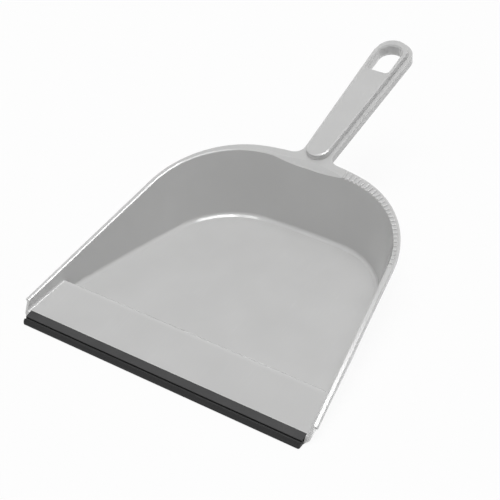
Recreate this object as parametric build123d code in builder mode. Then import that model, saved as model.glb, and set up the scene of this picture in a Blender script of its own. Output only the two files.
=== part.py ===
from build123d import *
import os
from math import atan2, cos, radians, sin, sqrt, tan

# A hand dustpan: a moulded pan with its handle in one piece, and a rubber lip pushed on its front edge.
# Millimetres and degrees.  X runs across the pan, Y from the lip to the handle, Z up from the floor.

# Whole object
overall_length = 336.0       # lip tip to the end of the handle
overall_width = 230.0        # across the rim at the front
wall = 1.6                   # the moulding's wall
floor_thickness = 1.9
outside_chamfer = 3.2        # where the walls turn into the underside
edge = 0.4                   # the moulding's edges are broken by this much

# Rim, drawn in one plane that climbs from the front of the pan to the end of the handle
rim_slope = 14.8
rim_start = 11.3             # the rim's front end, behind the lip tip
rim_start_height = 11.6
rim_taper = -6.0             # the sides close towards the back
rim_corner = 76.0
rim_back = 197.3             # along the slope
rim_back_radius = 203.0
rim_thickness = 2.0
rim_end_corner = 0.8         # the rim's front ends are rounded in plan
bead_width = 3.1             # the wall's top stands above the flange as a low bead that falls outwards
bead_height = 0.6            # at the mouth
bead_slope = 8.0
flare_width = 1.3            # the bead's inner flank falls towards the inside of the pan
flare_slope = 20.0

# Inside of the wall where it meets the rim
mouth_half_width = 111.5
mouth_taper = -6.9
mouth_corner = 67.0
mouth_back = 187.6
mouth_back_radius = 620.0

# Inside of the wall where it meets the floor
foot_half_width = 109.9
foot_taper = -8.4
foot_bow_radius = 1336.0     # the sides curve in gently on their way to the back
foot_corner = 55.0
foot_back = 179.0
foot_back_radius = 600.0
foot_bevel = 2.8             # the floor turns up in a bevel before the wall
foot_bevel_slope = 28.0
foot_fillet = 2.0            # between the bevel and the wall

# Ramp up from the lip, its crest, and the step down to the floor
ramp_start = 9.7
ramp_start_height = 5.2
crest = 41.8
crest_height = 11.3
ramp_foot = 51.0
ramp_fillet = 1.6            # along the side walls
sheet = 2.0                  # thickness of the ramp
ramp_ribs = 5
rib_recess = 1.0             # ribs end above the floor, out of its way
rib = 1.5
wall_foot = 3.4              # thickness of the side walls' feet beside the ramp

# Front end of the side walls leans forward towards the floor
wall_end_lean = 5.4
wall_end_drop = 10.6

# Handle: a flange that carries a raised grip and is turned down all round as a skirt
handle_root_half_width = 11.3
handle_end_radius = 16.1
grip_near = 6.9              # centre of the grip's near end, along the slope from the rim's back
grip_near_radius = 9.2
grip_far_radius = 12.8
grip_height = 4.6
grip_draft = 4.0
grip_bevel = 1.2             # round the grip's upper face
grip_bevel_slope = 19.0
skirt_depth = 6.0
root_fillet = 8.0
handle_ribs = 4
handle_rib_pitch = 21.0

# Hang hole through the end of the handle, along the slope from the rim's back
hole_near = 97.0
hole_far = 118.0             # centre of its round end
hole_half_width = 9.0
hole_corner = 2.5
hole_draft = 6.0
hole_edge = 1.3

# The rim rolls over into the pan in front of the handle
roll_half_width = 31.0
roll_depth = 5.6
roll_slope = 27.0

# Comb on the rim's right rear corner, which strips the fluff off a brush
comb_teeth = 27
comb_start = 7.2             # angle round the corner, from straight across the pan
comb_range = 82.4
comb_margin = 2.1            # the teeth stop this far inside the rim's edge
tooth_width = 1.9            # the teeth are round on top
tooth_root = 1.5             # they go down this far into the rim

# Lip and the tongue that it grips
lip_half_length = 109.0
lip_end_corner = 1.5         # its ends are rounded in plan at the tip
jaw = 1.0                    # rubber above the tongue
tongue = 1.6
tongue_length = 4.0
tongue_bulb = 1.1
tongue_half_length = 106.0   # the tongue stops short of the lip's ends
band = 6.0                   # width of the lip's flat upper band
groove_depth = 1.3
groove_width = 1.5
nose_height = 3.4
tip_height = 1.0
lip_edge = 0.3

front_reach = 6.0            # the outlines run on past the front before the ends are trimmed
spare = 10.0                 # cutting shapes stand out of the solid by this much
tip = -overall_length / 2


def from_tip(distance):
    """Y of a point that lies this far behind the lip tip."""
    return tip + distance


slope = radians(rim_slope)
floor_plane = Plane((0, from_tip(rim_start), 0))
rim_plane = Plane(
    (0, from_tip(rim_start), rim_start_height), x_dir=(1, 0, 0), z_dir=(0, -sin(slope), cos(slope))
)
rim_axis = Axis(rim_plane.origin, rim_plane.z_dir)
# Centre of the handle's round end, along the slope: the skirt's lower edge ends the overall length
handle_end = (overall_length - rim_start - skirt_depth * sin(slope)) / cos(slope) - handle_end_radius


def on_rim(item):
    """An edge's middle in the rim plane's own coordinates: across, along the slope, above the flange."""
    return rim_plane.to_local_coords(item.center())


def tray_outline(plane, half_width, taper, corner, back, back_radius, bow_radius=None, front=-front_reach):
    """The tray's outline at one level: tapering sides, bowed back, round rear corners."""

    def side(y):
        bow = y * y / (2 * bow_radius) if bow_radius else 0
        return half_width + y * tan(radians(taper)) - bow

    front_x, back_x = side(front), side(back)
    back_y = back - back_radius + sqrt(back_radius**2 - back_x**2)
    with BuildSketch(plane) as outline:
        with BuildLine():
            Line((-front_x, front), (front_x, front))
            if bow_radius:
                RadiusArc((front_x, front), (back_x, back_y), -bow_radius)
                RadiusArc((-back_x, back_y), (-front_x, front), -bow_radius)
            else:
                Line((front_x, front), (back_x, back_y))
                Line((-back_x, back_y), (-front_x, front))
            ThreePointArc((back_x, back_y), (0, back), (-back_x, back_y))
        make_face()
        fillet(outline.vertices().group_by(Axis.Y)[-1], radius=corner)
    return outline


def rim_outline(inset):
    """The rim's outer outline in the rim plane, drawn in by the inset."""
    return tray_outline(
        rim_plane,
        overall_width / 2 - inset,
        rim_taper,
        rim_corner - inset,
        rim_back - inset,
        rim_back_radius - inset,
        front=0,
    )


def mouth_outline(grow, rise=0):
    """The mouth's outline at this height over the flange, grown outwards."""
    return tray_outline(
        rim_plane.offset(rise),
        mouth_half_width + grow,
        mouth_taper,
        mouth_corner + grow,
        mouth_back + grow,
        mouth_back_radius,
    )


def foot_outline(grow):
    """The wall's foot on the floor, grown outwards."""
    return tray_outline(
        floor_plane,
        foot_half_width + grow,
        foot_taper,
        foot_corner + grow,
        foot_back + grow,
        foot_back_radius,
        foot_bow_radius,
    )


# The ramp's slope, and a frame along it with the ramp's front top edge as the origin
ramp_angle = atan2(crest_height - ramp_start_height, crest - ramp_start)
ramp_plane = Plane(
    (0, from_tip(ramp_start), ramp_start_height), x_dir=(0, cos(ramp_angle), sin(ramp_angle)), z_dir=(1, 0, 0)
)


def ramp_height(distance):
    """Height of the ramp's upper face this far behind the lip tip."""
    return ramp_start_height + (distance - ramp_start) * tan(ramp_angle)


def lip_plan():
    """Plan of the lip, with its two corners rounded at the tip."""
    with BuildSketch(Plane.XY) as plan:
        with Locations((0, from_tip(ramp_start))):
            Rectangle(2 * lip_half_length, 2 * ramp_start)
        fillet(plan.vertices().group_by(Axis.Y)[0], radius=lip_end_corner)
    return plan.sketch


def tongue_profile():
    """Section of the tongue on the pan's front edge, with the bulb that locks in the lip."""
    with BuildSketch(ramp_plane) as profile:
        with Locations((0, -jaw - tongue / 2)):
            Rectangle(2 * tongue_length, tongue)
        with Locations((-tongue_length, -jaw - tongue / 2)):
            Circle(tongue_bulb)
    return profile.sketch


def grip_outline(plane, inset):
    """The raised grip's outline: two round ends joined by tangents, drawn in by the inset."""
    with BuildSketch(plane) as outline:
        with Locations((0, rim_back + grip_near)):
            Circle(grip_near_radius - inset)
        with Locations((0, handle_end)):
            Circle(grip_far_radius - inset)
        make_hull()
    return outline


def handle_outline(plane, inset):
    """The handle's outline, from the back wall to the round end, drawn in by the inset."""
    with BuildSketch(plane) as outline:
        with Locations((0, mouth_back + wall + inset)):
            Rectangle(2 * (handle_root_half_width - inset), wall)
        with Locations((0, handle_end)):
            Circle(handle_end_radius - inset)
        make_hull()
    return outline


def hole_outline(plane, grow):
    """The hang hole's outline, straight towards the pan and round towards the end, grown outwards."""
    with BuildSketch(plane) as outline:
        with Locations((0, rim_back + (hole_near + hole_far - grow) / 2)):
            Rectangle(2 * (hole_half_width + grow), hole_far - hole_near + grow)
        with Locations((0, rim_back + hole_far)):
            Circle(hole_half_width + grow)
        fillet(outline.vertices().group_by(Axis.Y)[0], hole_corner)
    return outline


def handle_pockets(plane, outline, ribbed):
    """The hollow under the handle in plan, clear of the hole's own wall and of the cross ribs."""
    with BuildSketch(plane) as pockets:
        add(outline.sketch_local)
        add(hole_outline(plane, wall).sketch_local, mode=Mode.SUBTRACT)
        if ribbed:
            with Locations((0, rim_back + hole_near / 2)):
                with GridLocations(1, handle_rib_pitch, 1, handle_ribs):
                    Rectangle(overall_width, rib, mode=Mode.SUBTRACT)
    return pockets.sketch


# Outside of the walls and the underside, with a chamfer where they meet
with BuildPart() as outside:
    loft(sections=[foot_outline(wall).sketch, mouth_outline(wall).sketch], ruled=True)
    under_edges = outside.edges().group_by(Axis.Z)[0].sort_by(Axis.Y)
    chamfer(under_edges[1:], outside_chamfer)

# Space inside the pan: above the floor and the ramp, between the walls, open at the front and the top
with BuildPart() as hollow:
    mouth = mouth_outline(0, rise=bead_height).sketch
    loft(sections=[foot_outline(0).sketch, mouth], ruled=True)
    extrude(mouth, amount=spare)
    with BuildSketch(Plane.YZ):
        with BuildLine():
            Polyline(
                (from_tip(-spare), ramp_height(-spare)),
                (from_tip(crest), crest_height),
                (from_tip(ramp_foot), floor_thickness),
                (from_tip(overall_length), floor_thickness),
                (from_tip(overall_length), overall_length),
                (from_tip(-spare), overall_length),
                close=True,
            )
        make_face()
    extrude(amount=overall_width, both=True, mode=Mode.INTERSECT)
    floor_face = hollow.faces().sort_by(Axis.Z)[0]
    foot_edges = floor_face.edges().filter_by(lambda e: e.center().Y > from_tip(ramp_foot) + edge)
    bevel_rise = foot_bevel * tan(radians(foot_bevel_slope))
    chamfer(foot_edges, foot_bevel, bevel_rise, reference=floor_face)
    bent_edges = hollow.edges().filter_by(GeomType.LINE, reverse=True)
    bevel_top = bent_edges.filter_by(lambda e: abs(e.center().Z - floor_thickness - bevel_rise) < edge)
    fillet(bevel_top, radius=foot_fillet)
    bent_edges = hollow.edges().filter_by(GeomType.LINE, reverse=True)
    ramp_sides = bent_edges.filter_by(lambda e: abs(e.center().Z - ramp_height(e.center().Y - tip)) < edge)
    fillet(ramp_sides, radius=ramp_fillet)

# Space under the ramp: between the walls' feet, with ribs that stop short of the floor
with BuildPart() as under_space:
    extrude(foot_outline(wall - wall_foot).sketch, amount=crest_height, both=True)
    with BuildSketch(Plane.YZ):
        with BuildLine():
            Polyline(
                (from_tip(-spare), -spare),
                (from_tip(-spare), ramp_height(-spare) - sheet),
                (from_tip(crest - sheet / 2), crest_height - sheet),
                (from_tip(ramp_foot - sheet / 2), 0),
                (from_tip(ramp_foot - sheet / 2), -spare),
                close=True,
            )
        make_face()
    extrude(amount=overall_width, both=True, mode=Mode.INTERSECT)
    with BuildSketch(Plane.XY.offset(rib_recess)):
        with Locations((0, from_tip(crest))):
            with GridLocations(overall_width / (ramp_ribs + 1), 1, ramp_ribs, 1):
                Rectangle(rib, 2 * crest)
    extrude(amount=crest_height, mode=Mode.SUBTRACT)

# The lip's outer form, without the slot for the tongue: a flat band, a groove and a nose down to the tip
with BuildPart() as lip_form:
    with BuildSketch(Plane.YZ) as lip_profile:
        band_front = ramp_start - band * cos(ramp_angle)
        groove_front = band_front - groove_width
        with BuildLine():
            Polyline(
                (from_tip(ramp_start), ramp_start_height),
                (from_tip(band_front), ramp_height(band_front)),
                (from_tip(band_front), ramp_height(band_front) - groove_depth),
                (from_tip(groove_front), ramp_height(groove_front) - groove_depth),
                (from_tip(groove_front), nose_height),
                (from_tip(0), tip_height),
                (from_tip(0), 0),
                (from_tip(ramp_start - jaw), 0),
                (from_tip(ramp_start), jaw),
                close=True,
            )
        make_face()
        band_edge = (from_tip(band_front), ramp_height(band_front))
        fillet(lip_profile.vertices().sort_by_distance(band_edge)[0], lip_edge)
        fillet(lip_profile.vertices().group_by(Axis.X)[0], lip_edge)
    extrude(amount=lip_half_length, both=True)
    extrude(lip_plan(), amount=crest_height, mode=Mode.INTERSECT)

# Bead along the top of the wall, falling outwards, before the pan is hollowed
with BuildPart() as bead:
    bead_fall = bead_width + edge
    extrude(mouth_outline(bead_width).sketch, amount=bead_height + edge * tan(radians(bead_slope)))
    bead_top = bead.faces().sort_by(rim_axis)[-1]
    bead_sides = bead_top.edges().filter_by(lambda e: on_rim(e).Y > 0)
    chamfer(bead_sides, bead_fall, bead_fall * tan(radians(bead_slope)), reference=bead_top)

# Space over the bead's inner flank
with BuildPart() as flare:
    flare_fall = flare_width * tan(radians(flare_slope))
    extrude(mouth_outline(flare_width, rise=bead_height - flare_fall).sketch, amount=spare)
    flare_under = flare.faces().sort_by(rim_axis)[0]
    flare_sides = flare_under.edges().filter_by(lambda e: on_rim(e).Y > 0)
    chamfer(flare_sides, flare_width, flare_fall, reference=flare_under)

# Comb's teeth, round on top, which run across the rim from the wall's inner face
corner_arcs = mouth_outline(0).sketch_local.edges().filter_by(
    lambda e: e.geom_type == GeomType.CIRCLE and abs(e.radius - mouth_corner) < edge
)
corner_centre = corner_arcs.sort_by(Axis.X)[-1].arc_center
with BuildPart() as comb:
    with Locations(rim_plane.location * Pos(corner_centre.X, corner_centre.Y)):
        with PolarLocations(mouth_corner, comb_teeth, comb_start, comb_range, endpoint=True):
            Box(2 * spare, tooth_width, tooth_root, align=(Align.CENTER, Align.CENTER, Align.MAX))
            Cylinder(tooth_width / 2, 2 * spare, rotation=(0, 90, 0))
    with BuildSketch(rim_plane):
        add(rim_outline(comb_margin).sketch_local)
        add(mouth_outline(0).sketch_local, mode=Mode.SUBTRACT)
    extrude(amount=tooth_width, both=True, mode=Mode.INTERSECT)

# Pan: rim and handle flange, walls and floor, bead and grip, then the hollows, the front and the details
with BuildPart() as pan:
    with BuildSketch(rim_plane) as flange:
        add(rim_outline(0).sketch_local)
        fillet(flange.vertices().group_by(Axis.Y)[0], radius=rim_end_corner)
        add(handle_outline(rim_plane, 0).sketch_local)
        roots = flange.vertices().filter_by(
            lambda v: abs(v.X) < handle_end_radius and v.Y < rim_back + grip_near
        )
        fillet(roots, radius=root_fillet)
    extrude(amount=-rim_thickness)
    chamfer(pan.edges().filter_by(lambda e: on_rim(e).Z > -edge / 2), edge)
    add(outside.part)
    add(bead.part)
    extrude(handle_outline(rim_plane.offset(-rim_thickness), 0).sketch, amount=rim_thickness - skirt_depth)
    add(hollow.part, mode=Mode.SUBTRACT)
    add(flare.part, mode=Mode.SUBTRACT)

    # raised grip with drafted sides and a shallow bevel round the top
    grip_top = grip_outline(rim_plane.offset(grip_height), grip_height * tan(radians(grip_draft)))
    loft(sections=[grip_outline(rim_plane, 0).sketch, grip_top.sketch], ruled=True)
    grip_face = pan.faces().sort_by(rim_axis)[-1]
    chamfer(grip_face.edges(), grip_bevel, grip_bevel * tan(radians(grip_bevel_slope)), reference=grip_face)

    # front: ends of the side walls, space under the ramp, seat of the lip and the tongue in it
    wall_end_plane = Plane(
        (0, from_tip(rim_start), rim_start_height), x_dir=(1, 0, 0), z_dir=(0, wall_end_drop, -wall_end_lean)
    )
    split(bisect_by=wall_end_plane, keep=Keep.TOP)
    add(under_space.part, mode=Mode.SUBTRACT)
    add(lip_form.part, mode=Mode.SUBTRACT)
    extrude(tongue_profile(), amount=tongue_half_length, both=True)

    # hollow under the handle: the open channel, then between the ribs, then up into the grip
    channel_plane = rim_plane.offset(-skirt_depth)
    channel = handle_pockets(channel_plane, handle_outline(channel_plane, wall), ribbed=False)
    extrude(channel, amount=rib_recess, mode=Mode.SUBTRACT)
    ribbed_plane = channel_plane.offset(rib_recess)
    bays = handle_pockets(ribbed_plane, handle_outline(ribbed_plane, wall), ribbed=True)
    extrude(bays, amount=skirt_depth - rib_recess - rim_thickness, mode=Mode.SUBTRACT)
    inside_plane = rim_plane.offset(-rim_thickness)
    inside_grip = handle_pockets(inside_plane, grip_outline(inside_plane, wall), ribbed=True)
    extrude(inside_grip, amount=rim_thickness + grip_height - wall, mode=Mode.SUBTRACT)

    # hang hole, wider towards the underside
    hole_widening = (grip_height + skirt_depth) * tan(radians(hole_draft))
    hole_top = hole_outline(rim_plane.offset(grip_height), 0)
    hole_under = hole_outline(rim_plane.offset(-skirt_depth), hole_widening)
    loft(sections=[hole_under.sketch, hole_top.sketch], ruled=True, mode=Mode.SUBTRACT)
    top_edges = pan.edges().filter_by(
        lambda e: on_rim(e).Z > grip_height - edge / 2 and abs(on_rim(e).X) <= hole_half_width
    )
    hole_start = rim_back + hole_near - edge
    hole_edges = top_edges.filter_by(lambda e: hole_start < on_rim(e).Y < handle_end + hole_half_width)
    chamfer(hole_edges, hole_edge)

    # rim rolled over in front of the handle
    with BuildSketch(rim_plane.offset(bead_height)) as roll:
        roll_end = mouth_back - roll_half_width**2 / (2 * mouth_back_radius)
        with BuildLine():
            Polyline(
                (roll_half_width, roll_end),
                (roll_half_width, roll_end - spare),
                (-roll_half_width, roll_end - spare),
                (-roll_half_width, roll_end),
            )
            ThreePointArc(
                (roll_half_width, roll_end), (0, mouth_back + roll_depth), (-roll_half_width, roll_end)
            )
        make_face()
    roll_fall = roll_depth * tan(radians(roll_slope))
    extrude(roll.sketch, amount=-roll_fall, taper=90 - roll_slope, mode=Mode.SUBTRACT)

    # comb round the mouth's right rear corner: the bead gives way to the teeth
    with BuildSketch(rim_plane):
        with BuildLine():
            comb_arc = CenterArc(corner_centre, rim_corner + spare, comb_start, comb_range)
            Polyline(comb_arc @ 1, corner_centre, comb_arc @ 0)
        make_face()
    extrude(amount=bead_height, mode=Mode.SUBTRACT)
    add(comb.part)

# Lip: its outer form with the slot for the tongue, open at both ends
with BuildPart() as rubber_lip:
    add(lip_form.part)
    extrude(tongue_profile(), amount=lip_half_length, both=True, mode=Mode.SUBTRACT)

pan.part.label = "pan"
rubber_lip.part.label = "rubber_lip"

os.makedirs("parts", exist_ok=True)
export_step(pan.part, "parts/pan.step")
export_step(rubber_lip.part, "parts/rubber_lip.step")
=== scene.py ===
import bpy
from math import radians
from mathutils import Euler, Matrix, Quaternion, Vector

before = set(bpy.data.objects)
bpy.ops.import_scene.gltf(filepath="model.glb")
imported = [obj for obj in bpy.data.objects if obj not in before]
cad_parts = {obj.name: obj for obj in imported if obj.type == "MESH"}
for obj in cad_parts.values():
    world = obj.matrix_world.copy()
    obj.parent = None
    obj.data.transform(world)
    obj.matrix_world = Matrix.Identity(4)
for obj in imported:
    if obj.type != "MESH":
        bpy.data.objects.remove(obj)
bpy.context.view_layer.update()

# Lengths are in metres, and colours are linear.

# Camera, at the photograph's angle
CAMERA_PLACE = Vector((0.3567, -0.5964, 0.5184))
CAMERA_AZIMUTH = 32.25       # degrees to the right of straight in front of the lip
CAMERA_ELEVATION = 36.69     # degrees that it looks down
CAMERA_ROLL = -0.06
UPRIGHT = 90.0               # turns a camera from looking down to looking level
LENS = 84.9                  # millimetres, as is the sensor
SENSOR = 36.0
SHIFT_X = -0.0331
SHIFT_Y = -0.0021

# Pan: pale grey plastic with the mould's polish on it
PLASTIC_GREY = (0.588, 0.588, 0.585, 1.0)
PLASTIC_PALE = (0.610, 0.610, 0.607, 1.0)
# paler tone of worn edges and scratches, also a painted highlight on edges, comb teeth and the
# ramp's top
PLASTIC_WORN_AND_HIGHLIT = (0.800, 0.800, 0.796, 1.0)
PLASTIC_SATIN = 0.22         # roughness, least and most
PLASTIC_DULL = 0.26
PLASTIC_SPECULAR = 0.15
PLASTIC_GRAIN = 0.0005
PLASTIC_CLOUDS = 0.045
PLASTIC_RELIEF = 0.05        # strength of the grain's bump
PLASTIC_ROUNDING = 0.0004    # radius of the edges in the shading
SKIN_GLOSS = 1.0             # polish of the outermost skin, whole and scratched
SCRATCHED_GLOSS = 0.85
SKIN_ROUGHNESS = 0.10
FLOOR_DULLING = 0.75         # share of the polish that sweeping takes off floor and ramp
RIM_SLOPE = 0.962            # upward share of the normal: the rim keeps its polish,
FLOOR_SLOPE = 0.978          # and floor and ramp, which lie flatter, lose it
EDGE_REACH = 0.0008          # plastic along the edges painted paler: partly rub wear, partly painted highlight
EDGE_SPAN = (0.55, 1.0)      # openness inside the plastic, at an edge and away from it
EDGE_WEAR_AND_HIGHLIGHT = 0.80
LEAST_WEAR_AND_HIGHLIGHT = 0.55             # share of the edges' paleness (wear and painted highlight) between the worn patches
# Painted highlight: a paler strip along the top of the ramp
CREST_PLACE = -0.1262        # where the ramp behind the lip comes to its top, along Y
CREST_HEIGHT = 0.0090        # all of the ramp's top lies above this
CREST_WIDTH = 0.0030
CREST_HIGHLIGHT = 0.28
SCRATCH_LINES = (1300.0, 45.0, 45.0)    # lines to the metre across X, Y and Z
SCRATCH_PATCHES = 0.022
SCRATCH_ROUGHNESS = 0.015    # what the sweepings add along their scratches
SCRATCH_COLOUR = 0.08

# Lip: black extruded rubber
RUBBER_BLACK = (0.018, 0.018, 0.0185, 1.0)
# paler up-facing top of the rubber: partly bloom, partly painted top light
RUBBER_BLOOM_AND_TOP_LIGHT = (0.055, 0.055, 0.056, 1.0)
# painted shade, deep in the lip's groove
RUBBER_GROOVE_SHADE = (0.010, 0.010, 0.010, 1.0)
RUBBER_SATIN = 0.46
RUBBER_DULL = 0.56
RUBBER_SPECULAR = 0.25
RUBBER_GRAIN = 0.0006
RUBBER_CLOUDS = 0.02
RUBBER_RELIEF = 0.15
RUBBER_ROUNDING = 0.0003
LEAST_TOP_BLOOM_AND_LIGHT = 0.75           # share of the paler top (partly bloom, partly painted top light) between the clouds
DRAWN_LINES = (12.0, 1600.0, 1600.0)
DRAWN_PATCHES = 0.015
DRAWN_BLOOM = 0.3            # bloom along the drawn lines
GROOVE_REACH = 0.003         # round the groove, where painted shade darkens the rubber
GROOVE_SPAN = (0.35, 0.90)   # openness, deep in the groove and out of it

# Both finishes
SLOPING = 0.70               # upward share of the normal, from walls to level tops
LEVEL = 0.95
GRAIN_DETAIL = 3.0
CLOUD_DETAIL = 2.0
CLOUD_SPAN = (0.35, 0.65)    # the part of the noise that shows
LINE_DETAIL = 2.0
LINE_SPAN = (0.56, 0.72)
PATCH_DETAIL = 3.0
PATCH_SPAN = (0.38, 0.62)
RELIEF_DEPTH = 0.0001
PROBE_SAMPLES = 8            # rays that look for edges and grooves
ROUNDING_SAMPLES = 6

# Floor
FLOOR_SIDE = 8.0
FLOOR_DROP = 0.0004          # the floor lies this far under the pan
FLOOR_WHITE = (0.90, 0.90, 0.90, 1.0)
FLOOR_ROUGHNESS = 0.9
FLOOR_GLOW = 0.92            # share of plain white that the camera sees in the floor
PURE_WHITE = (1.0, 1.0, 1.0, 1.0)
WHITE_STRENGTH = 1.0

# Light: the room lights the pan, and the softboxes show in its gloss
HORIZON_LIGHT = 0.34         # even light of the room, round about and above
ZENITH_LIGHT = 0.26
WINDOW_AIM = Vector((0.08, -0.14, 0.98))
WINDOW_LIGHT = 5.8           # the room is brightest overhead, a little on the camera's side
WINDOW_FOCUS = 18.0
OVERHEAD_PLACE = Vector((0.022, 0.354, 2.3))
OVERHEAD_WIDTH = 0.44
OVERHEAD_DEPTH = 0.92
OVERHEAD_WATTS = 12.7
OVERHEAD_TURN = -16.4        # degrees anticlockwise, seen from above
SIDE_PLACE = Vector((-0.56, -0.19, 2.3))
SIDE_WIDTH = 0.40            # a smaller and dimmer one, for the tail of the reflections
SIDE_DEPTH = 0.33
SIDE_WATTS = 1.7

# Sockets of a Mix node that are for colours
MIX_SHARE, MIX_FIRST, MIX_SECOND, MIX_RESULT = 0, 6, 7, 2


class Wiring:
    """Adds nodes to a tree and links them by socket."""

    def __init__(self, tree):
        self.tree = tree

    def node(self, kind, **settings):
        made = self.tree.nodes.new(kind)
        for name, value in settings.items():
            setattr(made, name, value)
        return made

    def link(self, source, target):
        """Links a socket to an input, or sets the input to a plain value."""
        if isinstance(source, bpy.types.NodeSocket):
            self.tree.links.new(source, target)
        else:
            target.default_value = source

    def feed(self, node, **inputs):
        """Links or sets inputs by their names, with spaces written as underscores."""
        for name, value in inputs.items():
            self.link(value, node.inputs[name.replace("_", " ")])
        return node

    def place(self, group, **inputs):
        """A node group with its own values, as its outputs."""
        return self.feed(self.node("ShaderNodeGroup", node_tree=group), **inputs).outputs

    def coordinate(self, name):
        return self.node("ShaderNodeTexCoord").outputs[name]

    def split(self, vector):
        """A vector's X, Y and Z."""
        made = self.node("ShaderNodeSeparateXYZ")
        self.link(vector, made.inputs[0])
        return made.outputs

    def noise(self, vector, scale, detail):
        made = self.node("ShaderNodeTexNoise")
        return self.feed(made, Vector=vector, Scale=scale, Detail=detail).outputs[0]

    def math(self, operation, first, second):
        made = self.node("ShaderNodeMath", operation=operation)
        self.link(first, made.inputs[0])
        self.link(second, made.inputs[1])
        return made.outputs[0]

    def vector_math(self, operation, first, second):
        made = self.node("ShaderNodeVectorMath", operation=operation)
        self.link(first, made.inputs[0])
        self.link(second, made.inputs[1])
        return made.outputs

    def blend(self, share, first, second):
        """A colour between two others."""
        made = self.node("ShaderNodeMix", data_type="RGBA")
        self.link(share, made.inputs[MIX_SHARE])
        self.link(first, made.inputs[MIX_FIRST])
        self.link(second, made.inputs[MIX_SECOND])
        return made.outputs[MIX_RESULT]

    def span(self, value, low, high, new_low=0.0, new_high=1.0):
        """A value carried from one range to another, and held there."""
        made = self.node("ShaderNodeMapRange")
        self.feed(made, Value=value, From_Min=low, From_Max=high, To_Min=new_low, To_Max=new_high)
        return made.outputs[0]

    def between(self, share, low, high):
        """A value between two others."""
        return self.span(share, 0.0, 1.0, low, high)


def new_group(name, inputs, outputs):
    """An empty shader group with the inputs' kinds and float outputs, ready to wire."""
    group = bpy.data.node_groups.new(name, "ShaderNodeTree")
    for label, kind in inputs.items():
        group.interface.new_socket(label, in_out="INPUT", socket_type="NodeSocket" + kind)
    for label in outputs:
        group.interface.new_socket(label, in_out="OUTPUT", socket_type="NodeSocketFloat")
    w = Wiring(group)
    return group, w, w.node("NodeGroupInput").outputs, w.node("NodeGroupOutput").inputs


def moulded_skin_group():
    """Fine satin grain of a moulded surface, and the slow clouding that the melt leaves in it."""
    group, w, given, out = new_group(
        "moulded_skin", {"Grain Size": "Float", "Cloud Size": "Float"}, ("Grain", "Clouding")
    )
    place = w.coordinate("Object")
    grain = w.noise(place, w.math("DIVIDE", 1.0, given["Grain Size"]), GRAIN_DETAIL)
    cloud = w.noise(place, w.math("DIVIDE", 1.0, given["Cloud Size"]), CLOUD_DETAIL)
    w.link(grain, out["Grain"])
    w.link(w.span(cloud, *CLOUD_SPAN), out["Clouding"])
    return group


def streaks_group():
    """Fine lines that run one way, with worn and untouched patches among them."""
    group, w, given, out = new_group(
        "streaks", {"Lines": "Vector", "Patch Size": "Float"}, ("Streaks", "Patches")
    )
    place = w.coordinate("Object")
    stretched = w.vector_math("MULTIPLY", place, given["Lines"])["Vector"]
    lines = w.noise(stretched, 1.0, LINE_DETAIL)
    patch = w.noise(place, w.math("DIVIDE", 1.0, given["Patch Size"]), PATCH_DETAIL)
    w.link(w.span(lines, *LINE_SPAN), out["Streaks"])
    w.link(w.span(patch, *PATCH_SPAN), out["Patches"])
    return group


def level_faces_group():
    """1 where a surface lies level and faces up, 0 where it slopes and below."""
    group, w, given, out = new_group(
        "level_faces", {"Sloping": "Float", "Level": "Float"}, ("Mask",)
    )
    upward = w.split(w.coordinate("Normal"))["Z"]
    w.link(w.span(upward, given["Sloping"], given["Level"]), out["Mask"])
    return group


def add_material(name):
    """A new material with its wiring and its Principled shader."""
    material = bpy.data.materials.new(name)
    material.use_nodes = True
    return material, Wiring(material.node_tree), material.node_tree.nodes["Principled BSDF"]


def openness(w, reach, inside):
    """How open the space is near a point: out of the surface, or inside it for its edges."""
    probe = w.node(
        "ShaderNodeAmbientOcclusion", samples=PROBE_SAMPLES, inside=inside, only_local=True
    )
    return w.feed(probe, Distance=reach).outputs["AO"]


def relief(w, rounding, strength, height):
    """The normal of a surface with rounded edges and a fine relief."""
    rounded = w.feed(w.node("ShaderNodeBevel", samples=ROUNDING_SAMPLES), Radius=rounding)
    bump = w.feed(
        w.node("ShaderNodeBump"),
        Strength=strength,
        Distance=RELIEF_DEPTH,
        Height=height,
        Normal=rounded.outputs[0],
    )
    return bump.outputs[0]


def painted_crest_highlight(w):
    """A painted highlight: a paler strip just in front of the top of the ramp."""
    place = w.split(w.coordinate("Object"))
    strip = w.span(place["Y"], CREST_PLACE - CREST_WIDTH, CREST_PLACE, 0.0, CREST_HIGHLIGHT)
    on_ramp = w.math("GREATER_THAN", place["Z"], CREST_HEIGHT)
    before_crest = w.math("LESS_THAN", place["Y"], CREST_PLACE + CREST_WIDTH)
    return w.math("MULTIPLY", strip, w.math("MULTIPLY", on_ramp, before_crest))


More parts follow.
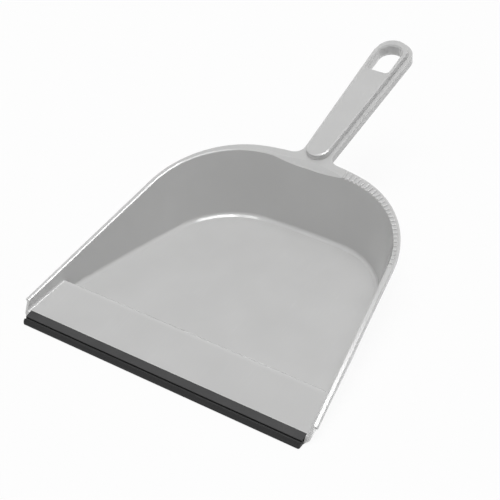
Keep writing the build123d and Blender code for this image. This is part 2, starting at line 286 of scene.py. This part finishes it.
def pan_plastic(skin, streaks, level_faces):
    """Pale grey plastic, polished, faintly scratched inside, and painted paler on its edges
    (partly rub wear, partly painted highlight) and along the ramp's top (painted highlight).
    """
    material, w, surface = add_material("pan_plastic")
    finish = w.place(skin, Grain_Size=PLASTIC_GRAIN, Cloud_Size=PLASTIC_CLOUDS)
    wear = w.place(streaks, Lines=SCRATCH_LINES, Patch_Size=SCRATCH_PATCHES)
    level = w.place(level_faces, Sloping=SLOPING, Level=LEVEL)["Mask"]
    swept = w.place(level_faces, Sloping=RIM_SLOPE, Level=FLOOR_SLOPE)["Mask"]
    worn_level = w.math("MULTIPLY", wear["Patches"], level)
    scratches = w.math("MULTIPLY", wear["Streaks"], worn_level)

    body = w.blend(finish["Clouding"], PLASTIC_GREY, PLASTIC_PALE)
    # Convex edges painted paler: partly rub wear, partly painted highlight that makes the comb's
    # teeth sparkle
    edges = w.span(openness(w, EDGE_REACH, inside=True), *EDGE_SPAN, EDGE_WEAR_AND_HIGHLIGHT, 0.0)
    wear_and_highlight = w.math("MULTIPLY", edges, w.between(wear["Patches"], LEAST_WEAR_AND_HIGHLIGHT, 1.0))
    # painted highlight along the ramp's top, on its level face
    wear_and_highlight = w.math("MAXIMUM", wear_and_highlight, w.math("MULTIPLY", painted_crest_highlight(w), level))
    wear_and_highlight = w.math("MAXIMUM", wear_and_highlight, w.math("MULTIPLY", scratches, SCRATCH_COLOUR))

    satin = w.between(finish["Clouding"], PLASTIC_SATIN, PLASTIC_DULL)
    polish = w.between(swept, 1.0, 1.0 - FLOOR_DULLING)
    gloss = w.between(scratches, SKIN_GLOSS, SCRATCHED_GLOSS)
    w.feed(
        surface,
        Base_Color=w.blend(wear_and_highlight, body, PLASTIC_WORN_AND_HIGHLIT),
        Roughness=w.math("ADD", satin, w.math("MULTIPLY", scratches, SCRATCH_ROUGHNESS)),
        Specular_IOR_Level=PLASTIC_SPECULAR,
        Coat_Weight=w.math("MULTIPLY", polish, gloss),
        Coat_Roughness=SKIN_ROUGHNESS,
        Normal=relief(w, PLASTIC_ROUNDING, PLASTIC_RELIEF, finish["Grain"]),
    )
    return material


def lip_rubber(skin, streaks, level_faces):
    """Black rubber, painted paler on its up-facing top (partly bloom, partly painted top light),
    darkened in the groove with painted shade, and with drawn lines along its length.
    """
    material, w, surface = add_material("lip_rubber")
    finish = w.place(skin, Grain_Size=RUBBER_GRAIN, Cloud_Size=RUBBER_CLOUDS)
    drawn = w.place(streaks, Lines=DRAWN_LINES, Patch_Size=DRAWN_PATCHES)
    level = w.place(level_faces, Sloping=SLOPING, Level=LEVEL)["Mask"]

    # Up-facing tops painted paler: partly bloom, partly painted top light
    top_light_and_bloom = w.math("MULTIPLY", level, w.between(finish["Clouding"], LEAST_TOP_BLOOM_AND_LIGHT, 1.0))
    top_light_and_bloom = w.math("MAXIMUM", top_light_and_bloom, w.math("MULTIPLY", drawn["Streaks"], DRAWN_BLOOM))
    top = w.blend(top_light_and_bloom, RUBBER_BLACK, RUBBER_BLOOM_AND_TOP_LIGHT)
    # Painted shade: the rubber darkened where the groove is closed in
    painted_groove_shade = w.span(openness(w, GROOVE_REACH, inside=False), *GROOVE_SPAN, 1.0, 0.0)
    lines = w.math("SUBTRACT", finish["Grain"], drawn["Streaks"])
    w.feed(
        surface,
        Base_Color=w.blend(painted_groove_shade, top, RUBBER_GROOVE_SHADE),
        Roughness=w.between(drawn["Patches"], RUBBER_SATIN, RUBBER_DULL),
        Specular_IOR_Level=RUBBER_SPECULAR,
        Normal=relief(w, RUBBER_ROUNDING, RUBBER_RELIEF, lines),
    )
    return material


def seen_directly(w):
    """1 for rays that show floor and room themselves: to the camera, in gloss, through glass."""
    path = w.node("ShaderNodeLightPath").outputs
    seen = w.math("MAXIMUM", path["Is Camera Ray"], path["Is Glossy Ray"])
    return w.math("MAXIMUM", seen, path["Is Transmission Ray"])


def white_floor():
    """A pale floor that the camera sees as white, with the pan's soft shadow left on it."""
    bpy.ops.mesh.primitive_plane_add(size=FLOOR_SIDE, location=(0, 0, -FLOOR_DROP))
    floor = bpy.context.object
    floor.name = "floor"
    material, w, surface = add_material("white_floor")
    w.feed(surface, Base_Color=FLOOR_WHITE, Roughness=FLOOR_ROUGHNESS)
    glow = w.feed(w.node("ShaderNodeEmission"), Color=PURE_WHITE, Strength=WHITE_STRENGTH)
    mix = w.node("ShaderNodeMixShader")
    w.link(w.math("MULTIPLY", seen_directly(w), FLOOR_GLOW), mix.inputs[0])
    w.link(surface.outputs[0], mix.inputs[1])
    w.link(glow.outputs[0], mix.inputs[2])
    w.feed(material.node_tree.nodes["Material Output"], Surface=mix.outputs[0])
    floor.data.materials.append(material)


def white_room():
    """Soft light from all round, which the camera and the gloss see as white."""
    world = bpy.data.worlds.new("white_room")
    world.use_nodes = True
    bpy.context.scene.world = world
    w = Wiring(world.node_tree)
    direction = w.coordinate("Generated")
    ambient = w.between(w.split(direction)["Z"], HORIZON_LIGHT, ZENITH_LIGHT)
    facing = w.vector_math("DOT_PRODUCT", direction, WINDOW_AIM.normalized())["Value"]
    window = w.math("POWER", w.math("MAXIMUM", facing, 0.0), WINDOW_FOCUS)
    light = w.math("ADD", ambient, w.math("MULTIPLY", window, WINDOW_LIGHT))
    w.feed(
        world.node_tree.nodes["Background"],
        Color=PURE_WHITE,
        Strength=w.math("MAXIMUM", light, seen_directly(w)),
    )


def softbox(name, place, width, depth, watts, turn=0.0):
    """A broad lamp that faces the middle of the pan and shows in its gloss alone."""
    lamp = bpy.data.lights.new(name, "AREA")
    lamp.shape = "RECTANGLE"
    lamp.size = width
    lamp.size_y = depth
    lamp.energy = watts
    holder = bpy.data.objects.new(name, lamp)
    holder.location = place
    holder.visible_diffuse = False
    aim = (-place).to_track_quat("-Z", "Y")
    holder.rotation_euler = (aim @ Quaternion((0, 0, 1), radians(turn))).to_euler()
    bpy.context.collection.objects.link(holder)


def camera():
    """The photograph's camera."""
    lens = bpy.data.cameras.new("camera")
    lens.lens = LENS
    lens.sensor_width = SENSOR
    lens.shift_x = SHIFT_X
    lens.shift_y = SHIFT_Y
    holder = bpy.data.objects.new("camera", lens)
    holder.location = CAMERA_PLACE
    tilt = radians(UPRIGHT - CAMERA_ELEVATION)
    turn = Euler((tilt, 0, radians(CAMERA_AZIMUTH)), "XYZ").to_matrix()
    roll = Euler((0, 0, radians(CAMERA_ROLL)), "XYZ").to_matrix()
    holder.rotation_euler = (turn @ roll).to_euler("XYZ")
    bpy.context.collection.objects.link(holder)
    bpy.context.scene.camera = holder


effects = (moulded_skin_group(), streaks_group(), level_faces_group())
finishes = {"pan": pan_plastic(*effects), "rubber_lip": lip_rubber(*effects)}
for node, material in finishes.items():
    for slot in bpy.data.objects[node].material_slots:
        slot.material = material

white_floor()
white_room()
softbox(
    "overhead_softbox",
    OVERHEAD_PLACE,
    OVERHEAD_WIDTH,
    OVERHEAD_DEPTH,
    OVERHEAD_WATTS,
    OVERHEAD_TURN,
)
softbox("side_softbox", SIDE_PLACE, SIDE_WIDTH, SIDE_DEPTH, SIDE_WATTS)
camera()
bpy.context.scene.view_settings.view_transform = "Standard"
